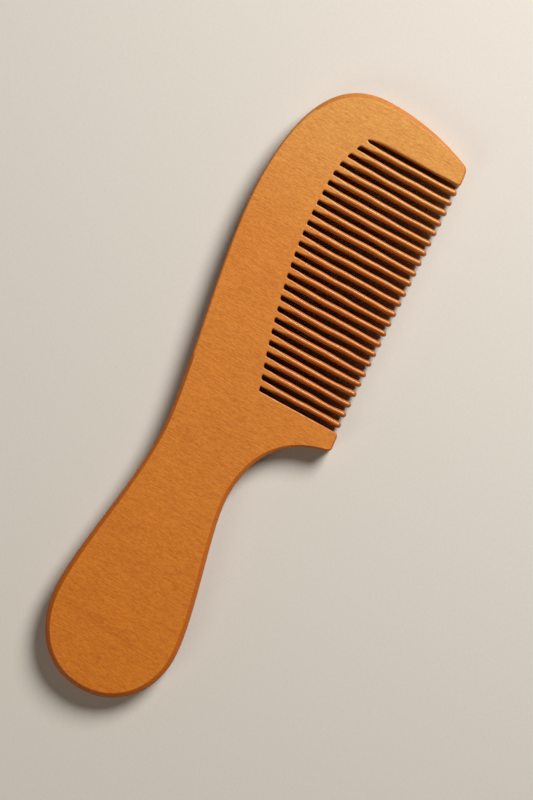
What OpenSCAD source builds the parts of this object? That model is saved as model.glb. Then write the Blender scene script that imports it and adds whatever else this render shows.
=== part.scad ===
// Wide tooth comb of solid hardwood, sawn and sanded from one flat blank with the
// grain along the teeth. The comb is one piece of wood: the handle, the spine, the
// two guards and the teeth are drawn apart, and meet face to face without a gap.
// X runs from the butt of the handle to the head, Y from the tooth tips to the
// back of the spine, and Z up out of the face. The comb lies flat on Z = 0 and
// is centred on the origin in X and Y.

/* [Blank] */
// Length from the butt of the handle to the head
comb_length = 190; // [182:1:200]
// Width from the lowest guard tip to the back of the spine
comb_width = 55.3; // [54:0.1:58]
// Thickness of the blank
thickness = 8; // [6:0.5:10]
// How far the rounding of the edges reaches in from the outline
edge_ease = 1.2; // [0.6:0.1:1.4]

/* [Handle] */
// Height of the handle's back above the centre line, at its widest
handle_back = 23; // [21:0.1:25]
// Depth of the handle's under side below the centre line, at its widest
handle_under = 16.8; // [15:0.1:19]
// Height of the back at the neck
neck_back = 17.7; // [16:0.1:19]
// Depth of the under side at the neck
neck_under = 8; // [6:0.1:10]

/* [Teeth] */
// Number of teeth between the two guards
tooth_count = 24; // [20:1:24]
// Centre of the first tooth, beside the neck guard
first_tooth_x = 6.7; // [6:0.1:8]
// Centre of the last tooth, beside the end guard
last_tooth_x = 80.7; // [79:0.1:82]
// Width of the saw cut between two teeth, at the root
slot_width = 1.3; // [1.1:0.05:1.5]
// Tip of the first tooth, below the centre line
first_tip = 26.8; // [25:0.1:27]
// Tip of the last tooth, below the centre line
last_tip = 24.1; // [22:0.1:25]
// Share of its width that a tooth keeps at the tip
tip_width_share = 0.85; // [0.7:0.01:1]
// Share of its thickness that a tooth keeps at the tip
tip_thickness_share = 0.75; // [0.4:0.01:1]

/* [Neck] */
// Where the handle ends and the head begins, on the centre line
neck_x = -0.5; // [-2:0.1:1]
// Lean of that line from square, in degrees
neck_lean = 8.3; // [6:0.1:10]

/* [Hidden] */
half_length = comb_length / 2;
half_width = comb_width / 2;
pitch = (last_tooth_x - first_tooth_x) / (tooth_count - 1);
tooth_width = pitch - slot_width;
tip_slope = (first_tip - last_tip) / (last_tooth_x - first_tooth_x);

// Flanks of the guards that face the teeth, one slot away from the outer teeth
neck_guard_flank = first_tooth_x - tooth_width / 2 - slot_width;
last_tooth_flank = last_tooth_x + tooth_width / 2;
end_guard_flank = last_tooth_flank + slot_width;

// A tooth starts this far below the higher of the round slot ends beside it
root_flat = slot_width / 2 + 0.4;
// The blank is open between the guards from here down
field_top = -7;
// Larger than the comb, for the cutting shapes
beyond = 60;
// How far past an outline the blank is made, so that the cut through it is clean
margin = 3 * edge_ease;
// How far a cutting shape stands out of each face
proud = 1;

// Cross-section of a tooth: steps in each rounded corner, the largest share of the
// section that a corner takes, height of the crown, and the share of the crown
// that is already there at the root
corner_steps = 3;
corner_share = 0.48;
crown_depth = 1.5;
root_crown = 0.08;
// Length over which the root turns into the crown, and length of the rounded tip
crown_run = 2.4;
tip_run = 1.8;
// Where along the rounded tip its rings lie, as turns of a quarter circle, and how
// far short of a point the tip ends, in a small flat
tip_turns = [30:20:90];
tip_flat = 0.08;

// Turn from one facet of a rounded outer edge to the next
bead_turn = 22.5;

// Steps along a curved span: length of a step, and the fewest and the most steps
step_length = 3;
fewest_steps = 3;
most_steps = 14;

// A station of an outline: [x, y, heading in degrees, reach in, reach out]
HEADING = 2;
REACH_IN = 3;
REACH_OUT = 4;

// The outer edge, from the tip of the end guard over the head, the back, the
// butt and the under side to the tip of the neck guard
outer_edge = [
    [end_guard_flank + 1.2, -23.8, 2, 0, 1.1],
    [87.6, -23.4, 14, 0.8, 0.5],
    [89.2, -22, 67, 0.9, 5.2],
    [half_length, 4.9, 90, 12.4, 17.7],
    [57.5, half_width, 180, 21, 23],
    [-20, neck_back, 180, 17, 17.3],
    [-71, handle_back, 180, 14, 12.3],
    [-half_length, 2.4, 270, 14, 10.8],
    [-74.5, -handle_under, 360, 11.8, 13],
    [-26.7, -neck_under, 360, 10.7, 15],
    [-1.6, -half_width + 1.55, 282, 10.8, 0.7],
    [-0.2, -half_width, 365, 0.5, 0.9],
    [neck_guard_flank - 1.1, -half_width + 0.35, 366, 1.1, 0],
];

// The line through the round ends of the slots
root_line = [
    [first_tooth_x - pitch / 2, -1.2, 18.6, 0, 8],
    [60, 9.8, 0, 20.6, 9.6],
    [last_tooth_x + pitch / 2, 5.3, -29, 11, 0],
];

tooth_names = [for (i = [1:tooth_count]) str("tooth_", i < 10 ? "0" : "", i)];

wood = "#c77937";
wood_light = "#d98f4c";

function direction(a) = [cos(a), sin(a)];

function bezier(p, t) =
    pow(1 - t, 3) * p[0] + 3 * pow(1 - t, 2) * t * p[1]
    + 3 * (1 - t) * t * t * p[2] + pow(t, 3) * p[3];

// Control points of the curve from one station to the next
function span(a, b) = [
    [a.x, a.y],
    [a.x, a.y] + a[REACH_OUT] * direction(a[HEADING]),
    [b.x, b.y] - b[REACH_IN] * direction(b[HEADING]),
    [b.x, b.y],
];

function span_steps(a, b) =
    let (steps = ceil(norm([b.x - a.x, b.y - a.y]) / step_length))
        max(fewest_steps, min(most_steps, steps));

function smooth(stations) = concat(
    [
        for (i = [0:len(stations) - 2])
            let (a = stations[i], b = stations[i + 1], n = span_steps(a, b), p = span(a, b))
                for (j = [0:n - 1]) bezier(p, j / n)
    ],
    [[stations[len(stations) - 1].x, stations[len(stations) - 1].y]]
);

root_points = smooth(root_line);

function root_y(x) = lookup(x, root_points);
function tooth_x(i) = first_tooth_x + i * pitch;
function slot_x(i) = tooth_x(i) - pitch / 2;
function tip_y(x) = -first_tip + (x - first_tooth_x) * tip_slope;

// Height of the face where tooth i leaves the spine, under both slot ends
function tooth_root_y(i) = min(root_y(slot_x(i)), root_y(slot_x(i + 1))) - root_flat;

neck_guard_top = root_y(slot_x(0)) - root_flat;
end_guard_top = root_y(slot_x(tooth_count)) - root_flat;

// Place along X of the line across the neck at height y
function neck_at(y) = neck_x + y * tan(neck_lean);

// The last slot is pointed, and swells along the root of the end guard
last_slot_edge = [
    [last_tooth_flank, end_guard_top + 0.2, 90, 0, 0.6],
    [last_tooth_flank + 0.6, end_guard_top + 1.3, 0, 0.25, 0.2],
    [end_guard_flank, -1.5, -90, 4.5, 0],
];

// Outline of the blank with the field of the teeth taken out
module blank_outline() {
    polygon(concat(
        smooth(outer_edge),
        [
            [neck_guard_flank, -half_width + 1.35],
            [neck_guard_flank, field_top],
            [end_guard_flank, field_top],
            [end_guard_flank, -23],
        ]
    ));
}

// Half section of the rounded edge, turned into a bead
module edge_bead() {
    hull()
        rotate_extrude($fn = 360 / bead_turn)
            polygon([for (a = [-90:bead_turn:90]) edge_ease * direction(a)]);
}

// The blank with its outer edges rounded over, as far as an outline and a little more
module eased_blank(outline) {
    translate([0, 0, edge_ease])
        minkowski() {
            linear_extrude(thickness - 2 * edge_ease)
                offset(delta = -edge_ease)
                    intersection() {
                        blank_outline();
                        offset(delta = margin)
                            polygon(outline);
                    }
            edge_bead();
        }
}

// The part of the eased blank inside an outline
module sawn_from_blank(outline) {
    intersection() {
        eased_blank(outline);
        translate([0, 0, -proud])
            linear_extrude(thickness + 2 * proud)
                polygon(outline);
    }
}

// A saw cut with a round end, open downwards
module slot(x) {
    translate([x, root_y(x) - slot_width / 2, -proud]) {
        cylinder(d = slot_width, h = thickness + 2 * proud, $fn = 32);
        translate([-slot_width / 2, -beyond, 0])
            cube([slot_width, beyond, thickness + 2 * proud]);
    }
}

// The last saw cut, from its pointed end downwards
module last_slot() {
    translate([0, 0, -proud])
        linear_extrude(thickness + 2 * proud)
            polygon(concat(
                smooth(last_slot_edge),
                [
                    [end_guard_flank, -beyond],
                    [last_tooth_flank, -beyond],
                ]
            ));
}

module handle() {
    color(wood)
        sawn_from_blank([
            [-2 * beyond, -beyond],
            [neck_at(-beyond), -beyond],
            [neck_at(beyond), beyond],
            [-2 * beyond, beyond],
        ]);
}

// The back of the head with a short stub above each tooth
module spine() {
    color(wood_light)
        difference() {
            sawn_from_blank(concat(
                [
                    [neck_at(beyond), beyond],
                    [neck_at(neck_guard_top), neck_guard_top],
                    [slot_x(0), neck_guard_top],
                ],
                [
                    for (i = [0:tooth_count - 1], side = [0, 1])
                        [slot_x(i + side), tooth_root_y(i)]
                ],
                [
                    [slot_x(tooth_count), end_guard_top],
                    [2 * beyond, end_guard_top],
                    [2 * beyond, beyond],
                ]
            ));
            for (i = [0:tooth_count - 1])
                slot(slot_x(i));
            last_slot();
        }
}

module neck_guard() {
    color(wood)
        sawn_from_blank([
            [neck_at(neck_guard_top), neck_guard_top],
            [neck_at(-beyond), -beyond],
            [neck_guard_flank, -beyond],
            [neck_guard_flank, neck_guard_top],
        ]);
}

module end_guard() {
    color(wood_light)
        difference() {
            sawn_from_blank([
                [last_tooth_flank, end_guard_top],
                [last_tooth_flank, -beyond],
                [2 * beyond, -beyond],
                [2 * beyond, end_guard_top],
            ]);
            last_slot();
        }
}

// How round a tooth is at a distance from its root: almost square, then crowned
function crown_at(d) = root_crown + (1 - root_crown) * sin(90 * min(1, d / crown_run));

// How much of its section a tooth keeps at a distance from its tip
function tip_round(e) = e >= tip_run ? 1 : sqrt(1 - pow(1 - max(e, tip_flat) / tip_run, 2));

// A closed ring round a tooth, with quarter ellipses for corners
function tooth_ring(w, t, crown, y) = [
    for (quarter = [0:3], step = [0:corner_steps])
        let (
            a = 90 * (quarter + step / corner_steps),
            rx = corner_share * w * crown,
            rz = min(crown_depth, corner_share * t) * crown,
            sx = quarter == 0 || quarter == 3 ? 1 : -1,
            sz = quarter < 2 ? 1 : -1
        )
            [sx * (w / 2 - rx) + rx * cos(a), y, sz * (t / 2 - rz) + rz * sin(a)]
];

module tooth(i) {
    x = tooth_x(i);
    top = tooth_root_y(i);
    reach = top - tip_y(x);
    along = concat(
        [0, crown_run / 3, crown_run, reach / 2, reach - tip_run],
        [for (a = tip_turns) reach - tip_run * (1 - sin(a))]
    );
    rings = [
        for (d = along)
            let (
                f = d / reach,
                keep = tip_round(reach - d),
                w = tooth_width * (1 - (1 - tip_width_share) * f) * keep,
                t = thickness * (1 - (1 - tip_thickness_share) * f) * keep
            )
                tooth_ring(w, t, crown_at(d), top - d)
    ];
    n = len(rings[0]);
    last = len(rings) - 1;
    color(i % 2 == 0 ? wood : wood_light)
        translate([x, 0, thickness / 2])
            polyhedron(
                points = [for (ring = rings, p = ring) p],
                faces = concat(
                    [[for (j = [0:n - 1]) j]],
                    [
                        for (r = [0:last - 1], j = [0:n - 1])
                            let (k = (j + 1) % n)
                                [r * n + j, (r + 1) * n + j, (r + 1) * n + k, r * n + k]
                    ],
                    [[for (j = [n - 1:-1:0]) last * n + j]]
                )
            );
}

handle();
spine();
neck_guard();
end_guard();
for (i = [0:tooth_count - 1])
    tooth(i);
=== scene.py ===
import math
import random
from collections import namedtuple

import bpy
import numpy as np
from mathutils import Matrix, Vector
from mathutils.geometry import delaunay_2d_cdt


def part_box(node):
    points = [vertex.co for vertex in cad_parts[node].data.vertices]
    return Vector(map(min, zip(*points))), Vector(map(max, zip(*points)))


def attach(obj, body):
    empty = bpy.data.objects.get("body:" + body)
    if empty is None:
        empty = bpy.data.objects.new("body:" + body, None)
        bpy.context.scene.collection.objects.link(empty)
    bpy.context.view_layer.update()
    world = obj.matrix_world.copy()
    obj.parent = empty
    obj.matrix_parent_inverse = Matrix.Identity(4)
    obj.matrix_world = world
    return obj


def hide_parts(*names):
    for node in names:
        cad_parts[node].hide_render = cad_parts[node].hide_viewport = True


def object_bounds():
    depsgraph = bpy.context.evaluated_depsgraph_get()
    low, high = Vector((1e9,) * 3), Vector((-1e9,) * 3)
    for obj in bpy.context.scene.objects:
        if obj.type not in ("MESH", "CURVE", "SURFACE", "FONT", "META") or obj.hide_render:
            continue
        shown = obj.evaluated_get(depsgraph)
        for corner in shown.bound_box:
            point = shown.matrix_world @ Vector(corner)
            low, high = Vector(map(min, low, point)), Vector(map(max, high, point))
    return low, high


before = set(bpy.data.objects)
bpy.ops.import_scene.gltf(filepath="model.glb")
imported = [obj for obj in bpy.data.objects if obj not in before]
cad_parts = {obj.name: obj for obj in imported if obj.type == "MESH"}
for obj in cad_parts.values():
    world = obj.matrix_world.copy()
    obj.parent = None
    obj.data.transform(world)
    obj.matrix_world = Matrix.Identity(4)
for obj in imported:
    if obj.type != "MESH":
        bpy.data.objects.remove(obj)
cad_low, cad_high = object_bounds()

# The comb's finished meshes, its lacquered wood, the floor, the lights and the
# camera. Lengths are in millimetres until a mesh is written, which is in metres.
# X runs from the butt of the handle to the head, Y from the tooth tips to the
# back of the spine, and Z up out of the face.

MM = 0.001

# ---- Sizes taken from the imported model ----


def box_mm(node):
    return tuple(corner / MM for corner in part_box(node))


Tooth = namedtuple("Tooth", "name x half_width root tip")


def tooth_from(node):
    low, high = box_mm(node)
    return Tooth(node, (low.x + high.x) / 2, (high.x - low.x) / 2, high.y, low.y)


TEETH = [tooth_from(n) for n in sorted(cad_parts) if n.startswith("tooth_")]
FIRST, LAST = TEETH[0], TEETH[-1]
PITCH = (LAST.x - FIRST.x) / (len(TEETH) - 1)
SLOT = PITCH - 2 * FIRST.half_width

THICKNESS = cad_high.z / MM
LEFT, RIGHT = cad_low.x / MM, cad_high.x / MM
LOWEST, BACK = cad_low.y / MM, cad_high.y / MM
NECK_FLANK = box_mm("neck_guard")[1].x
NECK_SEAM = box_mm("neck_guard")[1].y
LAST_FLANK = LAST.x + LAST.half_width
END_FLANK = LAST_FLANK + SLOT
END_SEAM = box_mm("end_guard")[1].y

# ---- Driving dimensions of the finish ----

NECK_X = -0.5             # where the handle ends and the head begins
NECK_LEAN = 8.3           # lean of that line from square, in degrees

FAR_EASE = 0.34           # width of a slot's rounding on a tooth's side to the head
NEAR_EASE = 0.6           # and on its side to the handle
EASE_HEIGHT = 0.85        # height of a rounded edge, as a share of its width
WALL_BULGE = 0.08         # how far the wall swells, as a share of the width
OUTER_CRISPNESS = 1.2     # exponent of the outer edges: 1 is a chamfer, 2 an ellipse
ROUND = 2.0               # the same exponent, for the edges along slots and teeth
TIP_LEVEL = -22.0         # on the guards' flanks the outer edge turns round from this
FLANK_RUN = 8.0           # height up, over this length
FLANK_MARGIN = 0.01       # how far outside the flanks a point still counts as on them

SAMPLE_STEP = 0.45        # spacing of the points along the outer edge
SLOT_STEP = 0.12          # and along a slot
FEWEST_STEPS = 5          # fewest steps between two stations
CUT_MARGIN = 0.15         # a point nearer to a cut than this share of a step is left out
SKEW_REACH = 4.0          # length over which an edge turns in line with a seam
EASE_ROWS = 9             # rows of points over a rounded edge
WALL_ROWS = 4             # and from there down to half thickness
FACE_STEP = 3.0           # spacing of the points inside a flat face
LATTICE_ROW = 0.866       # spacing of their rows, as a share of that
LATTICE_CLEAR = 0.6       # how far they keep off the face's border, as a share
NO_LENGTH = 1e-9          # a slope shorter than this has no direction
MERGE_DISTANCE = 1e-7     # points of a flat face nearer than this are one

# ---- Outline ----

# x, y, heading in degrees, reach in, reach out, width of the rounded edge
Station = namedtuple("Station", "x y heading inward outward ease")

SLOT_CORNER = 0.6         # how far a slot's rounded end reaches down its sides,
SLOT_FLATNESS = 0.75      # and how flat its top is, as shares of half its width

ROOT_LINE = [
    Station(FIRST.x - PITCH / 2, -1.2, 18.6, 0, 8, 0),
    Station(60, 9.8, 0, 20.6, 9.6, 0),
    Station(LAST.x + PITCH / 2, 5.3, -29, 11, 0, 0),
]

# From the last slot round the end guard, the head, the back, the butt, the
# under side and the neck guard to the first slot, with the wood on the left
OUTER_EDGE = [
    Station(LAST_FLANK, LAST.root, 90, 0, 0.05, FAR_EASE),
    Station(LAST_FLANK, LAST.root + 0.18, 90, 0.05, 0.6, FAR_EASE),
    Station(LAST_FLANK + 0.6, END_SEAM + 1.3, 0, 0.25, 0.2, FAR_EASE),
    Station(END_FLANK, -1.5, -90, 4.5, 6, 1.0),
    Station(END_FLANK - 0.1, -22.9, -90, 6, 0.4, 0.7),
    Station(END_FLANK + 1.0, -23.85, 2, 0.5, 1.1, 0.5),
    Station(87.6, -23.4, 14, 0.8, 0.5, 0.6),
    Station(89.2, -22, 67, 0.9, 5.2, 0.7),
    Station(RIGHT, 4.9, 90, 12.4, 17.7, 1.7),
    Station(57.5, BACK, 180, 21, 23, 0.8),
    Station(-20, 17.7, 180, 17, 17.3, 1.1),
    Station(-71, 23, 180, 14, 12.3, 1.5),
    Station(LEFT, 2.4, 270, 14, 10.8, 1.6),
    Station(-74.5, -16.8, 360, 11.8, 13, 1.5),
    Station(-26.7, -8, 360, 10.7, 15, 1.3),
    Station(-1.6, -26.1, 282, 10.8, 0.7, 0.6),
    Station(-0.2, LOWEST, 365, 0.5, 0.9, 0.5),
    Station(NECK_FLANK - 1.1, -27.3, 366, 1.1, 0.5, 0.5),
    Station(NECK_FLANK, -26.2, 450, 0.6, 6, 0.35),
    Station(NECK_FLANK, NECK_SEAM, 450, 6, 0.5, FAR_EASE),
]


def direction(degrees):
    return np.array([math.cos(math.radians(degrees)), math.sin(math.radians(degrees))])


def smooth_step(t):
    t = np.clip(t, 0, 1)
    return t * t * (3 - 2 * t)


Edge = namedtuple("Edge", "points tangents ease crispness")


def sampled(stations, crispness, step=SAMPLE_STEP):
    """The smooth curve through the stations, with its tangents and edge widths."""
    points, tangents, ease = [], [], []
    for a, b in zip(stations, stations[1:]):
        p0, p3 = np.array([a.x, a.y]), np.array([b.x, b.y])
        p1 = p0 + a.outward * direction(a.heading)
        p2 = p3 - b.inward * direction(b.heading)
        steps = max(FEWEST_STEPS, math.ceil(np.linalg.norm(p3 - p0) / step))
        t = np.linspace(0, 1, steps + 1)[:, None]
        if b is not stations[-1]:
            t = t[:-1]
        s = 1 - t
        points.append(s**3 * p0 + 3 * s * s * t * p1 + 3 * s * t * t * p2 + t**3 * p3)
        slope = s * s * (p1 - p0) + 2 * s * t * (p2 - p1) + t * t * (p3 - p2)
        for row, still in enumerate(np.linalg.norm(slope, axis=1) < NO_LENGTH):
            if still:
                slope[row] = direction(a.heading if row == 0 else b.heading)
        tangents.append(slope / np.linalg.norm(slope, axis=1)[:, None])
        ease.append(a.ease + (b.ease - a.ease) * smooth_step(t[:, 0]))
    points, tangents, ease = (np.concatenate(part) for part in (points, tangents, ease))
    return Edge(points, tangents, ease, np.full(len(points), crispness))


def softened_flanks(edge):
    """The same edge, with plain round edges where it faces the teeth."""
    x, y = edge.points.T
    in_field = (x > NECK_FLANK - FLANK_MARGIN) & (x < END_FLANK + FLANK_MARGIN)
    soft = in_field * smooth_step((y - TIP_LEVEL) / FLANK_RUN)
    return edge._replace(crispness=OUTER_CRISPNESS + (ROUND - OUTER_CRISPNESS) * soft)


ROOT_CURVE = sampled(ROOT_LINE, ROUND).points


def root_y(x):
    return float(np.interp(x, ROOT_CURVE[:, 0], ROOT_CURVE[:, 1]))


def slot_end(x, left_y, right_y, first=False):
    """Stations up one side of a slot, round its end and down the other side. The
    end is blunt and slants with the root line."""
    half = SLOT / 2
    corner = SLOT_CORNER * half
    flat = SLOT_FLATNESS * half
    slope = math.degrees(math.atan2(root_y(x + half) - root_y(x - half), 2 * half))
    start = [] if first else [Station(x - half, left_y, 90, 0, 0.05, FAR_EASE)]
    return start + [
        Station(x - half, root_y(x - half) - corner, 90, 0.05, corner / 2, FAR_EASE),
        Station(x, root_y(x), slope, flat, flat, FAR_EASE),
        Station(x + half, root_y(x + half) - corner, -90, corner / 2, 0.05, NEAR_EASE),
        Station(x + half, right_y, -90, 0.05, 0, NEAR_EASE),
    ]


def neck_at(y):
    return NECK_X + y * math.tan(math.radians(NECK_LEAN))


def neck_line():
    """The straight line between handle and head, as a point and a direction."""
    return np.array([NECK_X, 0.0]), direction(90 - NECK_LEAN)


def level_line(y):
    return np.array([0.0, y]), np.array([1.0, 0.0])


def crossings(edge, line):
    """Where an edge crosses a line, as point numbers with a fraction."""
    origin, along = line
    away = edge.points - origin
    side = away[:, 0] * along[1] - away[:, 1] * along[0]
    found = []
    for i in range(len(side) - 1):
        if (side[i] < 0) != (side[i + 1] < 0):
            found.append(i + side[i] / (side[i] - side[i + 1]))
    return found


def part_of(edge, start, end):
    """The stretch of an edge from one crossing to another."""
    first, last = start + CUT_MARGIN, end - CUT_MARGIN
    inner = [i for i in range(len(edge.points)) if first < i < last]
    where = np.array([start] + inner + [end], float)
    low = np.minimum(where.astype(int), len(edge.points) - 2)
    share = (where - low)[:, None]

    def between(values):
        return values[low] * (1 - share) + values[low + 1] * share

    tangents = between(edge.tangents)
    tangents /= np.linalg.norm(tangents, axis=1)[:, None]
    part = share[:, 0]
    ease = edge.ease[low] * (1 - part) + edge.ease[low + 1] * part
    crisp = edge.crispness[low] * (1 - part) + edge.crispness[low + 1] * part
    return Edge(between(edge.points), tangents, ease, crisp)


# ---- Meshes ----


def profile(ease, crispness):
    """Inset and drop of a rounded edge from the face down to half thickness, for
    each point of an edge: arrays of rows by points."""
    turn = np.linspace(0, math.pi / 2, EASE_ROWS)[:, None]
    power = 2 / crispness
    bulge = WALL_BULGE * ease
    inset = ease - (ease - bulge) * np.sin(turn) ** power
    drop = EASE_HEIGHT * ease * (1 - np.clip(np.cos(turn), 0, 1) ** power)
    down = np.linspace(0, 1, WALL_ROWS + 1)[1:, None]
    low = EASE_HEIGHT * ease
    wall_inset = bulge * (1 - down) ** 2
    wall_drop = low + (THICKNESS / 2 - low) * down
    return np.concatenate([inset, wall_inset]), np.concatenate([drop, wall_drop])


def mirrored(inset, drop, thickness):
    """Both halves of the profile: inset and height, from the upper to the lower face."""
    height = thickness - drop
    return (
        np.concatenate([inset, inset[-2::-1]]),
        np.concatenate([height, drop[-2::-1]]),
    )


def profile_normals(inset, height):
    """Outward and upward parts of the normal along a profile, by differences."""
    out = -np.gradient(inset, axis=0)
    up = np.gradient(height, axis=0)
    length = np.hypot(out, up)
    return -up / length, out / length


class Solid:
    """Vertices, faces and corner normals of a piece that is being built."""

    def __init__(self):
        self.points, self.faces, self.normals = [], [], []

    def add(self, points):
        first = len(self.points)
        self.points.extend(points)
        return list(range(first, len(self.points)))

    def face(self, corners, normals):
        self.faces.append(corners)
        self.normals.extend(normals)

    def flat_face(self, corners, normal):
        self.face(corners, [normal] * len(corners))

    def grid(self, rows, normals, closed=False):
        """Quads between rows of vertex numbers, seen from the side that rows run
        down and columns run right."""
        count = len(rows[0])
        for r in range(len(rows) - 1):
            for c in range(count if closed else count - 1):
                d = (c + 1) % count
                corners = [rows[r][c], rows[r + 1][c], rows[r + 1][d], rows[r][d]]
                near = [normals[r][c], normals[r + 1][c], normals[r + 1][d], normals[r][d]]
                self.face(corners, near)

    def made(self, name, material, node):
        mesh = bpy.data.meshes.new(name)
        mesh.from_pydata([tuple(MM * v for v in p) for p in self.points], [], self.faces)
        mesh.polygons.foreach_set("use_smooth", [True] * len(mesh.polygons))
        mesh.normals_split_custom_set([tuple(n) for n in self.normals])
        mesh.materials.append(material)
        mesh.validate()
        piece = bpy.data.objects.new(name, mesh)
        bpy.context.scene.collection.objects.link(piece)
        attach(piece, "root")
        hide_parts(node)
        return piece


UP, DOWN = (0.0, 0.0, 1.0), (0.0, 0.0, -1.0)


def inward(edge, start_dir, end_dir):
    """Directions in which an edge's rows step inwards: square to the edge, but in
    line with the seams at its two ends."""
    normal = np.stack([-edge.tangents[:, 1], edge.tangents[:, 0]], axis=1)
    steps = np.linalg.norm(np.diff(edge.points, axis=0), axis=1)
    along = np.concatenate([[0], np.cumsum(steps)])
    reach = min(SKEW_REACH, along[-1] / 2)
    skew = np.zeros(len(along))
    for way, place, distance in (
        (start_dir, 0, along),
        (end_dir, -1, along[-1] - along),
    ):
        slant = way @ edge.tangents[place] / (way @ normal[place])
        skew += slant * (1 - smooth_step(distance / reach))
    return normal + skew[:, None] * edge.tangents, normal


def inside(polygon, point):
    x, y = point
    hit = False
    for (ax, ay), (bx, by) in zip(polygon, np.roll(polygon, -1, axis=0)):
        if (ay > y) != (by > y) and x < ax + (y - ay) * (bx - ax) / (by - ay):
            hit = not hit
    return hit


def inner_points(polygon):
    """A staggered lattice inside a face, clear of its border."""
    low, high = polygon.min(axis=0), polygon.max(axis=0)
    rows = np.arange(low[1] + FACE_STEP / 2, high[1], FACE_STEP * LATTICE_ROW)
    found = []
    for r, y in enumerate(rows):
        stagger = FACE_STEP / (4 if r % 2 else 2)
        for x in np.arange(low[0] + stagger, high[0], FACE_STEP):
            gap = np.hypot(polygon[:, 0] - x, polygon[:, 1] - y).min()
            if gap > LATTICE_CLEAR * FACE_STEP and inside(polygon, (x, y)):
                found.append((x, y))
    return found


def fill_face(solid, upper, lower):
    """Triangles over the upper and the lower flat face inside their borders."""
    border = np.array([solid.points[i][:2] for i in upper])
    extra = inner_points(border)
    top = solid.add([(x, y, THICKNESS) for x, y in extra])
    bottom = solid.add([(x, y, 0.0) for x, y in extra])
    flat = [Vector(p) for p in border] + [Vector(p) for p in extra]
    count = len(border)
    ring = [(i, (i + 1) % count) for i in range(count)]
    _, _, faces, origins, _, _ = delaunay_2d_cdt(
        flat, ring, [list(range(count))], 1, MERGE_DISTANCE
    )
    over, under = list(upper) + top, list(lower) + bottom
    for face in faces:
        numbers = [origins[v][0] for v in face]
        a, b, c = (flat[n] for n in numbers)
        if (b - a).cross(c - a) < 0:
            numbers.reverse()
        solid.flat_face([over[n] for n in numbers], UP)
        solid.flat_face([under[n] for n in reversed(numbers)], DOWN)


def plank(name, material, node, loop):
    """A part of the blank: rounded edges joined by flat faces where it meets the
    next part. The loop runs counter-clockwise and holds edges, and single points
    where two of those flat faces meet."""
    solid = Solid()
    ends = [(e.points[0], e.points[-1]) if isinstance(e, Edge) else (e, e) for e in loop]
    columns, upper, lower = [], [], []
    for i, part in enumerate(loop):
        if not isinstance(part, Edge):
            post = solid.add([(part[0], part[1], THICKNESS), (part[0], part[1], 0.0)])
            columns.append((post, post))
            upper.append(post[0])
            lower.append(post[1])
            continue
        back = ends[i - 1][1] - ends[i][0]
        ahead = ends[(i + 1) % len(loop)][0] - ends[i][1]
        step_in, normal = inward(
            part, back / np.linalg.norm(back), ahead / np.linalg.norm(ahead)
        )
        inset, height = mirrored(*profile(part.ease, part.crispness), THICKNESS)
        out, up = profile_normals(inset, height)
        place = part.points + inset[:, :, None] * step_in
        rows, normals = [], []
        for r in range(len(place)):
            rows.append(solid.add([(*place[r, c], height[r, c]) for c in range(len(normal))]))
            normals.append(
                [(*(-normal[c] * out[r, c]), up[r, c]) for c in range(len(normal))]
            )
        solid.grid(rows, normals)
        columns.append(([row[0] for row in rows], [row[-1] for row in rows]))
        upper.extend(rows[0])
        lower.extend(rows[-1])
    for i in range(len(loop)):
        before, after = columns[i][1], columns[(i + 1) % len(loop)][0]
        across = ends[(i + 1) % len(loop)][0] - ends[i][1]
        across = across / np.linalg.norm(across)
        solid.flat_face(list(before) + list(reversed(after)), (across[1], -across[0], 0.0))
    fill_face(solid, upper, lower)
    return solid.made(name, material, node)


# ---- Teeth ----

CROWN_NEAR = 0.56         # reach of a crown's side to the handle, as a share of the width
CROWN_FAR = 0.40          # reach of its side to the head
NEAR_DROP = 1.6           # height of the crown on its side to the handle
FAR_DROP = 1.05           # and on its side to the head
MOST_DROP = 0.47          # most that either takes, as a share of the thickness
CROWN_RUN = 4.5           # length over which the flat root turns into a crown
TIP_RUN = 1.0             # length of a tooth's rounded tip
TIP_WIDTH = 0.86          # width kept at the tip
TIP_SWELL = 0.05          # how much a tip swells again before it is rounded off
SWELL_START = 4           # where that begins, counted back from the end in tip runs
SWELL_RUN = 3             # and how many tip runs it takes
TIP_THICKNESS = 0.75      # thickness kept at the tip
THINNING = 1.5            # exponent of the thinning: over 1 it comes late
TIP_CLOSING = 0.8         # exponent: under 1 a tip's thickness closes after its width
TIP_STOP = 0.12           # how far short of a point the tip's last ring stops, in radians
TIP_TURN = 0.1            # how far a tip is turned towards the head
WOBBLE = 0.1              # how far a hand-filed tooth strays sideways
WAVES = 3                 # number of waves in that
STEADY_ROOT = 0.35        # share of a tooth's length over which they grow
WAVE_HEIGHTS = (0.5, 1)   # random spread of a wave's height, as a factor
WAVE_TURNS = (0.7, 1.3)   # and of how often it repeats
TOOTH_RINGS = 64          # rings of points down a tooth to its tip
TIP_RINGS = 12            # and round the tip, counting the ring that they share


def wander(rng, length, size, waves):
    """A smooth random curve along a tooth that starts from nothing at its root."""
    parts = []
    for k in range(1, waves + 1):
        height = rng.uniform(*WAVE_HEIGHTS) * size / k
        phase = rng.uniform(0, 2 * math.pi)
        turns = rng.uniform(*WAVE_TURNS) * k
        parts.append((height, phase, turns))

    def curve(d):
        fade = smooth_step(d / (STEADY_ROOT * length))
        return fade * sum(h * np.sin(p + 2 * math.pi * t * d / length) for h, p, t in parts)

    return curve


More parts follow.
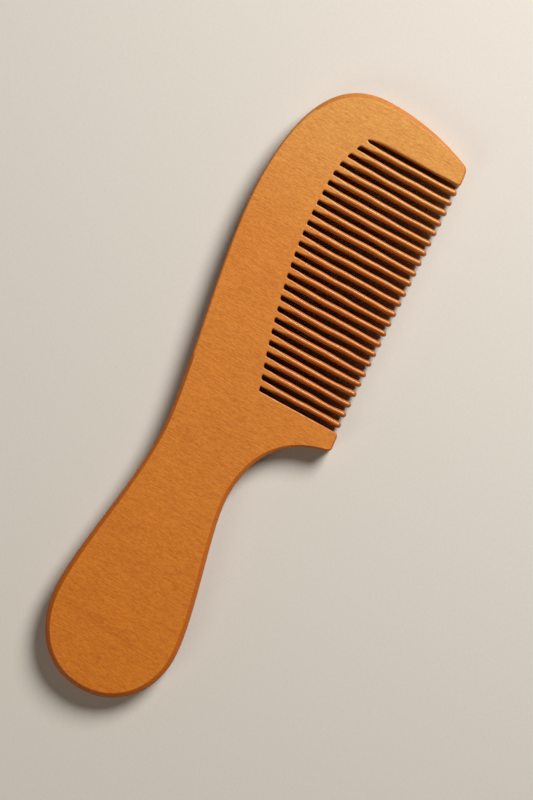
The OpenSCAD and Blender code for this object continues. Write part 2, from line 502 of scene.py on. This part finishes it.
def crown_side(reach, drop, thick):
    """Inset and height down one side of a tooth, and up again on the lower half."""
    turn = np.linspace(0, math.pi / 2, EASE_ROWS)[:, None]
    bulge = WALL_BULGE * reach
    down = np.linspace(0, 1, WALL_ROWS + 1)[1:, None]
    rounded = reach - (reach - bulge) * np.sin(turn)
    wall = bulge * (1 - down) ** 2
    inset = np.concatenate([rounded, wall])
    fall = np.concatenate([drop * (1 - np.cos(turn)), drop + (thick / 2 - drop) * down])
    return mirrored(inset, fall, thick)


def tooth_piece(tooth, material):
    rng = random.Random(tooth.name)
    length = tooth.root - tooth.tip
    sideways = wander(rng, length, WOBBLE, WAVES)
    fuller = wander(rng, length, WOBBLE / 2, WAVES)
    body = np.linspace(0, length - TIP_RUN, TOOTH_RINGS)
    turn = np.linspace(0, math.pi / 2 - TIP_STOP, TIP_RINGS)[1:]
    along = np.concatenate([body, length - TIP_RUN + TIP_RUN * np.sin(turn)])
    keep = np.concatenate([np.ones(TOOTH_RINGS), np.cos(turn)])
    share = along / length
    past_start = along - length + SWELL_START * TIP_RUN
    near_tip = smooth_step(past_start / (SWELL_RUN * TIP_RUN))
    width = 1 - (1 - TIP_WIDTH) * share + TIP_SWELL * near_tip
    half = (tooth.half_width * width + fuller(along)) * keep
    thick = THICKNESS * (1 - (1 - TIP_THICKNESS) * share**THINNING) * keep**TIP_CLOSING
    middle = tooth.x + sideways(along) + TIP_TURN * near_tip

    crown = smooth_step(along / CROWN_RUN)
    sides = []
    for root_ease, reach, drop in (
        (FAR_EASE, CROWN_FAR, FAR_DROP),
        (NEAR_EASE, CROWN_NEAR, NEAR_DROP),
    ):
        root_drop = EASE_HEIGHT * root_ease
        widest = 2 * half * reach
        ease = np.minimum(root_ease + (widest - root_ease) * crown, widest)
        fall = np.minimum(root_drop + (drop - root_drop) * crown, MOST_DROP * thick)
        sides.append(crown_side(ease, fall, thick))
    (far_inset, far_height), (near_inset, near_height) = sides
    low = (THICKNESS - thick) / 2
    far_x = middle + half - far_inset
    near_x = middle - half + near_inset
    x = np.concatenate([far_x, near_x[::-1]]).T
    z = np.concatenate([low + far_height, low + near_height[::-1]]).T
    y = np.repeat((tooth.root - along)[:, None], x.shape[1], axis=1)
    grid = np.stack([x, y, z], axis=2)

    lengthwise = np.gradient(grid, axis=0)
    lengthwise[0] = (0, -1, 0)
    round_it = np.roll(grid, -1, axis=1) - np.roll(grid, 1, axis=1)
    normal = np.cross(lengthwise, round_it)
    normal /= np.linalg.norm(normal, axis=2)[:, :, None]
    rows_each = x.shape[1] // 2
    out, up = profile_normals(far_inset, far_height)
    level = np.zeros(rows_each)
    normal[0, :rows_each] = np.stack([out[:, 0], level, up[:, 0]], axis=1)
    normal[0, rows_each:] = np.stack([-out[::-1, 0], level, up[::-1, 0]], axis=1)

    solid = Solid()
    rows = [solid.add([tuple(p) for p in ring]) for ring in grid]
    solid.grid(rows, normal, closed=True)
    solid.flat_face(rows[0], (0.0, 1.0, 0.0))
    solid.flat_face(rows[-1][::-1], (0.0, -1.0, 0.0))
    return solid.made(tooth.name + "_wood", material, tooth.name)


# ---- Materials ----


class Nodes:
    """A short way to write a material's nodes."""

    def __init__(self, name):
        self.material = bpy.data.materials.new(name)
        self.material.use_nodes = True
        self.tree = self.material.node_tree
        self.tree.nodes.clear()

    def add(self, kind, inputs=(), **settings):
        node = self.tree.nodes.new("ShaderNode" + kind)
        for key, value in settings.items():
            setattr(node, key, value)
        for key, value in dict(inputs).items():
            if isinstance(value, bpy.types.NodeSocket):
                self.tree.links.new(value, node.inputs[key])
            else:
                node.inputs[key].default_value = value
        return node

    def math(self, operation, a, b=0.0, c=0.0):
        return self.add("Math", {0: a, 1: b, 2: c}, operation=operation).outputs[0]

    def ranged(self, value, low, high, to_low=0.0, to_high=1.0):
        inputs = {"Value": value, 1: low, 2: high, 3: to_low, 4: to_high}
        return self.add("MapRange", inputs, interpolation_type="SMOOTHSTEP").outputs[0]

    def noise(self, vector, size, detail):
        """Noise whose features measure size (x, y, z) in millimetres."""
        scaled = self.add("Mapping", {"Vector": vector, "Scale": [1 / (MM * s) for s in size]})
        inputs = {"Vector": scaled.outputs[0], "Scale": 1.0, "Detail": detail}
        return self.add("TexNoise", inputs).outputs[0]

    def mix(self, factor, a, b, blend="MIX"):
        node = self.add("Mix", {0: factor, 6: a, 7: b}, data_type="RGBA", blend_type=blend)
        return node.outputs[2]


# Colour of the wood from butt to head. It grows paler towards the head, where the key lamp
# stands: partly the wood's own tone, partly painted light and sheen
WOOD_AT_BUTT = (0.635, 0.2, 0.0145, 1)
WOOD_AT_NECK = (0.66, 0.234, 0.031, 1)
WOOD_AND_PAINTED_SHEEN_AT_HEAD = (0.695, 0.328, 0.074, 1)
PALER_FROM = 35           # the colour turns paler from here towards the head: partly the wood's own tone, partly painted light and sheen from the key lamp's side

# What the darkest grain keeps of each colour, and what steep edges and tooth sides keep under
# their painted shade
DARKENED = (0.6, 0.43, 0.24, 1)
EDGE_PAINTED_SHADE = (0.82, 0.66, 0.5, 1)

# Steepness is 0 on the flat faces and 1 on the walls
PAINTED_SHADE_STEEPNESS = (0.04, 0.2)       # over which the painted shade of the steep edges comes in
COAT_STEEPNESS = (0.12, 0.4)       # over which the lacquer thins out
COAT_WEIGHTS = (0.5, 0.05)         # its weight on the faces and on the walls
COAT_ROUGHNESS = 0.2
SPECULAR = 0.3

GRAIN_LEAN = 2.0          # turn of the fibres from the line of the teeth, in degrees
SWING = 0.9               # how far the fibres stray from side to side
SWING_SIZE = (7, 14, 7)
SWING_DETAIL = 2
END_GRAIN = 0.22          # how dark the wood is where its fibres are cut across

# A layer of the grain: size of its features along x, y and z, detail of its noise,
# noise values at which it is darkest and at which it is gone, and how dark it is
Layer = namedtuple("Layer", "size detail darkest gone depth")

BANDS = Layer((5, 60, 5), 3, 0.36, 0.62, 0.04)
STREAKS = Layer((0.7, 7, 0.7), 2, 0.32, 0.66, 0.03)
RIPPLE = Layer((0.22, 4.2, 0.22), 2, 0.38, 0.6, 0.25)
FIBRES = Layer((0.15, 1.1, 0.15), 1, 0.38, 0.6, 0.42)
CLOUD = Layer((18, 14, 18), 2, 0.36, 0.62, 0.05)
PORES = Layer((0.25, 1.3, 0.5), 1, 0.74, 0.64, 0.14)

# Noise of the streaks, from and to, and what it makes of another value
STREAKS_ON_LINES = (0.3, 0.65, 0.6, 1.2)
STREAKS_ON_ROUGHNESS = (0.3, 0.7, 0.5, 0.58)

# How much each layer raises the surface, and the height that the relief stands for
RIPPLE_RELIEF = 0.9
FIBRES_RELIEF = 0.6
PORES_RELIEF = -0.6
RELIEF_STRENGTH = 0.6
RELIEF_HEIGHT = 0.03

# A growth line: place on the centre line, lean in degrees, lower and upper end,
# half width, and how dark it is
GrowthLine = namedtuple("GrowthLine", "x lean low high half_width depth")

GROWTH_LINES = [
    GrowthLine(-76.3, 5.5, -14, 20, 1.2, 0.13),
    GrowthLine(-65.5, 4.0, -6, 12, 0.7, 0.1),
    GrowthLine(-55.5, 24.0, -10, 6, 0.9, 0.1),
    GrowthLine(-37.0, 8.0, -12, 10, 0.7, 0.08),
    GrowthLine(-1.5, 7.7, -14, 18, 1.1, 0.07),
    GrowthLine(34.0, 5.0, 4, 26, 0.8, 0.08),
]

GROWTH_FADE = 6           # length over which a growth line fades at each end


def growth_line(n, x, y, line):
    """How dark a growth line makes a place: a soft streak with two faded ends."""
    lean = math.tan(math.radians(line.lean))
    aside = n.math("SUBTRACT", x, n.math("MULTIPLY_ADD", y, lean, line.x * MM))
    across = n.ranged(n.math("ABSOLUTE", aside), 0, line.half_width * MM, line.depth, 0)
    below = n.ranged(y, line.low * MM, (line.low + GROWTH_FADE) * MM)
    above = n.ranged(y, (line.high - GROWTH_FADE) * MM, line.high * MM, 1, 0)
    return n.math("MULTIPLY", across, n.math("MULTIPLY", below, above))


def wood(name):
    """Satin-lacquered hardwood with its fibres along the teeth."""
    n = Nodes(name)
    place = n.add("TexCoord")
    turned = n.add(
        "Mapping",
        {"Vector": place.outputs["Object"], "Rotation": (0, 0, math.radians(GRAIN_LEAN))},
    ).outputs[0]
    swing = n.noise(turned, SWING_SIZE, SWING_DETAIL)
    swing = n.math("MULTIPLY_ADD", swing, SWING * MM, -SWING / 2 * MM)
    aside = n.add("CombineXYZ", {"X": swing}).outputs[0]
    grain = n.add("VectorMath", {0: turned, 1: aside}, operation="ADD").outputs[0]
    where = n.add("SeparateXYZ", {0: grain})
    x, y = where.outputs[0], where.outputs[1]

    streaks = n.noise(grain, STREAKS.size, STREAKS.detail)
    ripple = n.noise(grain, RIPPLE.size, RIPPLE.detail)
    fibres = n.noise(grain, FIBRES.size, FIBRES.detail)
    pores = n.ranged(n.noise(grain, PORES.size, PORES.detail), PORES.gone, PORES.darkest)
    layers = [
        (BANDS, n.noise(grain, BANDS.size, BANDS.detail)),
        (STREAKS, streaks),
        (RIPPLE, ripple),
        (FIBRES, fibres),
        (CLOUD, n.noise(turned, CLOUD.size, CLOUD.detail)),
    ]

    dark = growth_line(n, x, y, GROWTH_LINES[0])
    for line in GROWTH_LINES[1:]:
        dark = n.math("ADD", dark, growth_line(n, x, y, line))
    dark = n.math("MULTIPLY", dark, n.ranged(streaks, *STREAKS_ON_LINES))
    for layer, noise in layers:
        dark = n.math("ADD", dark, n.ranged(noise, layer.darkest, layer.gone, layer.depth, 0))
    dark = n.math("MULTIPLY_ADD", pores, PORES.depth, dark)
    faces = n.add("SeparateXYZ", {0: place.outputs["Normal"]})
    end_grain = n.math("MULTIPLY", faces.outputs[1], faces.outputs[1])
    dark = n.math("MULTIPLY_ADD", end_grain, END_GRAIN, dark)
    steep = n.math("SUBTRACT", 1.0, n.math("ABSOLUTE", faces.outputs[2]))

    # Paler towards the head: partly the wood's own tone, partly painted light and sheen
    colour = n.mix(n.ranged(x, LEFT * MM, PALER_FROM * MM), WOOD_AT_BUTT, WOOD_AT_NECK)
    colour = n.mix(n.ranged(x, PALER_FROM * MM, RIGHT * MM), colour, WOOD_AND_PAINTED_SHEEN_AT_HEAD)
    colour = n.mix(dark, colour, n.mix(1.0, colour, DARKENED, "MULTIPLY"))
    # Painted shade: the steeper the surface, the darker its colour
    edge = n.ranged(steep, *PAINTED_SHADE_STEEPNESS)
    colour = n.mix(edge, colour, n.mix(1.0, colour, EDGE_PAINTED_SHADE, "MULTIPLY"))

    relief = n.math("MULTIPLY", fibres, FIBRES_RELIEF)
    relief = n.math("MULTIPLY_ADD", ripple, RIPPLE_RELIEF, relief)
    relief = n.math("MULTIPLY_ADD", pores, PORES_RELIEF, relief)
    bump = n.add(
        "Bump",
        {"Strength": RELIEF_STRENGTH, "Distance": RELIEF_HEIGHT * MM, "Height": relief},
    )
    shader = n.add(
        "BsdfPrincipled",
        {
            "Base Color": colour,
            "Roughness": n.ranged(streaks, *STREAKS_ON_ROUGHNESS),
            "Normal": bump.outputs[0],
            "Specular IOR Level": SPECULAR,
            "Coat Weight": n.ranged(steep, *COAT_STEEPNESS, *COAT_WEIGHTS),
            "Coat Roughness": COAT_ROUGHNESS,
        },
    )
    n.add("OutputMaterial", {"Surface": shader.outputs[0]})
    return n.material


PAPER_DARK = (0.58, 0.55, 0.51, 1)
PAPER_LIGHT = (0.64, 0.61, 0.57, 1)
PAPER_TOOTH = (0.8, 0.8, 0.8)      # size of the paper's roughness along x, y and z
PAPER_DETAIL = 3
PAPER_STRENGTH = 0.3
PAPER_HEIGHT = 0.05
PAPER_ROUGHNESS = 0.9
PAPER_SPECULAR = 0.2


def floor_material():
    """Plain pale paper with a very faint tooth."""
    n = Nodes("floor")
    place = n.add("TexCoord").outputs["Object"]
    tooth = n.noise(place, PAPER_TOOTH, PAPER_DETAIL)
    colour = n.mix(tooth, PAPER_DARK, PAPER_LIGHT)
    bump = n.add(
        "Bump",
        {"Strength": PAPER_STRENGTH, "Distance": PAPER_HEIGHT * MM, "Height": tooth},
    )
    shader = n.add(
        "BsdfPrincipled",
        {
            "Base Color": colour,
            "Roughness": PAPER_ROUGHNESS,
            "Normal": bump.outputs[0],
            "Specular IOR Level": PAPER_SPECULAR,
        },
    )
    n.add("OutputMaterial", {"Surface": shader.outputs[0]})
    return n.material


# ---- The comb ----

BEYOND_FLANK = 0.5        # a crossing this far past the last tooth is on the end guard


def build_comb():
    """The blank in four parts, and the teeth."""
    material = wood("wood")
    first_slot = slot_end(FIRST.x - PITCH / 2, NECK_SEAM, FIRST.root, first=True)
    edge = softened_flanks(sampled(OUTER_EDGE + first_slot, OUTER_CRISPNESS))
    last_point = len(edge.points) - 1

    back_neck, under_neck = crossings(edge, neck_line())
    end_levels = crossings(edge, level_line(END_SEAM))
    on_guard = [s for s in end_levels if edge.points[int(s)][0] > LAST_FLANK + BEYOND_FLANK]
    flank_end, outer_end = on_guard[-2:]
    neck_levels = crossings(edge, level_line(NECK_SEAM))
    flank_neck = [s for s in neck_levels if edge.points[int(s)][0] < FIRST.x - PITCH / 2][-1]
    corner = np.array([neck_at(NECK_SEAM), NECK_SEAM])
    slots = [
        sampled(slot_end(a.x + PITCH / 2, a.root, b.root), ROUND, SLOT_STEP)
        for a, b in zip(TEETH, TEETH[1:])
    ]

    plank("handle_wood", material, "handle", [part_of(edge, back_neck, under_neck)])
    spine_start = [part_of(edge, outer_end, back_neck), corner]
    spine_start.append(part_of(edge, flank_neck, last_point))
    spine_end = [part_of(edge, 0, flank_end)]
    plank("spine_wood", material, "spine", spine_start + slots + spine_end)
    neck_outline = [part_of(edge, under_neck, flank_neck), corner]
    plank("neck_guard_wood", material, "neck_guard", neck_outline)
    plank("end_guard_wood", material, "end_guard", [part_of(edge, flank_end, outer_end)])
    for tooth in TEETH:
        tooth_piece(tooth, material)


# ---- Floor, lights and camera, in metres ----

FLOOR_HALF = 4.0          # half the floor's side

KEY_PLACE = (0.56, -0.15, 0.55)
KEY_POWER = 9.0
KEY_COLOUR = (1.0, 0.97, 0.92)
FILL_PLACE = (-0.55, 0.2, 0.45)
FILL_POWER = 1.2
FILL_COLOUR = (1.0, 0.88, 0.72)
LAMP_SIZE = 0.4           # diameter of both lamps
SKY_COLOUR = (1.0, 0.98, 0.95, 1)
SKY_STRENGTH = 0.022

ROLL = -61.4              # turn of the picture about the line of sight, in degrees
VIEW_HEIGHT = 0.22841     # height of the picture, measured at the comb's upper face
VIEW_ASIDE = (0.00545, 0.00063)    # the camera's place to the right and up from the origin
LENS = 150.0              # focal length and sensor, in millimetres
SENSOR = 36.0
FAR_CLIP = 20.0


def build_floor():
    mesh = bpy.data.meshes.new("floor")
    signs = [(-1, -1), (1, -1), (1, 1), (-1, 1)]
    corners = [(FLOOR_HALF * x, FLOOR_HALF * y, 0.0) for x, y in signs]
    mesh.from_pydata(corners, [], [(0, 1, 2, 3)])
    mesh.materials.append(floor_material())
    floor = bpy.data.objects.new("floor", mesh)
    bpy.context.scene.collection.objects.link(floor)


def area_light(name, place, power, colour):
    """A round soft lamp that looks at the origin."""
    data = bpy.data.lights.new(name, "AREA")
    data.shape = "DISK"
    data.size = LAMP_SIZE
    data.energy = power
    data.color = colour
    light = bpy.data.objects.new(name, data)
    light.location = place
    light.rotation_euler = (-Vector(place)).to_track_quat("-Z", "Y").to_euler()
    bpy.context.scene.collection.objects.link(light)


def build_lights():
    area_light("key", KEY_PLACE, KEY_POWER, KEY_COLOUR)
    area_light("fill", FILL_PLACE, FILL_POWER, FILL_COLOUR)
    world = bpy.data.worlds.new("studio")
    world.use_nodes = True
    sky = world.node_tree.nodes["Background"]
    sky.inputs["Color"].default_value = SKY_COLOUR
    sky.inputs["Strength"].default_value = SKY_STRENGTH
    bpy.context.scene.world = world


def build_camera():
    data = bpy.data.cameras.new("camera")
    data.lens = LENS
    data.sensor_width = SENSOR
    data.clip_end = FAR_CLIP
    camera = bpy.data.objects.new("camera", data)
    right = direction(ROLL)
    up = direction(ROLL + 90)
    aside = right * VIEW_ASIDE[0] + up * VIEW_ASIDE[1]
    distance = VIEW_HEIGHT * LENS / SENSOR
    camera.location = (aside[0], aside[1], cad_high.z + distance)
    camera.rotation_euler = (0, 0, math.radians(ROLL))
    bpy.context.scene.collection.objects.link(camera)
    bpy.context.scene.camera = camera


build_comb()
build_floor()
build_lights()
build_camera()
bpy.context.scene.view_settings.view_transform = "Standard"
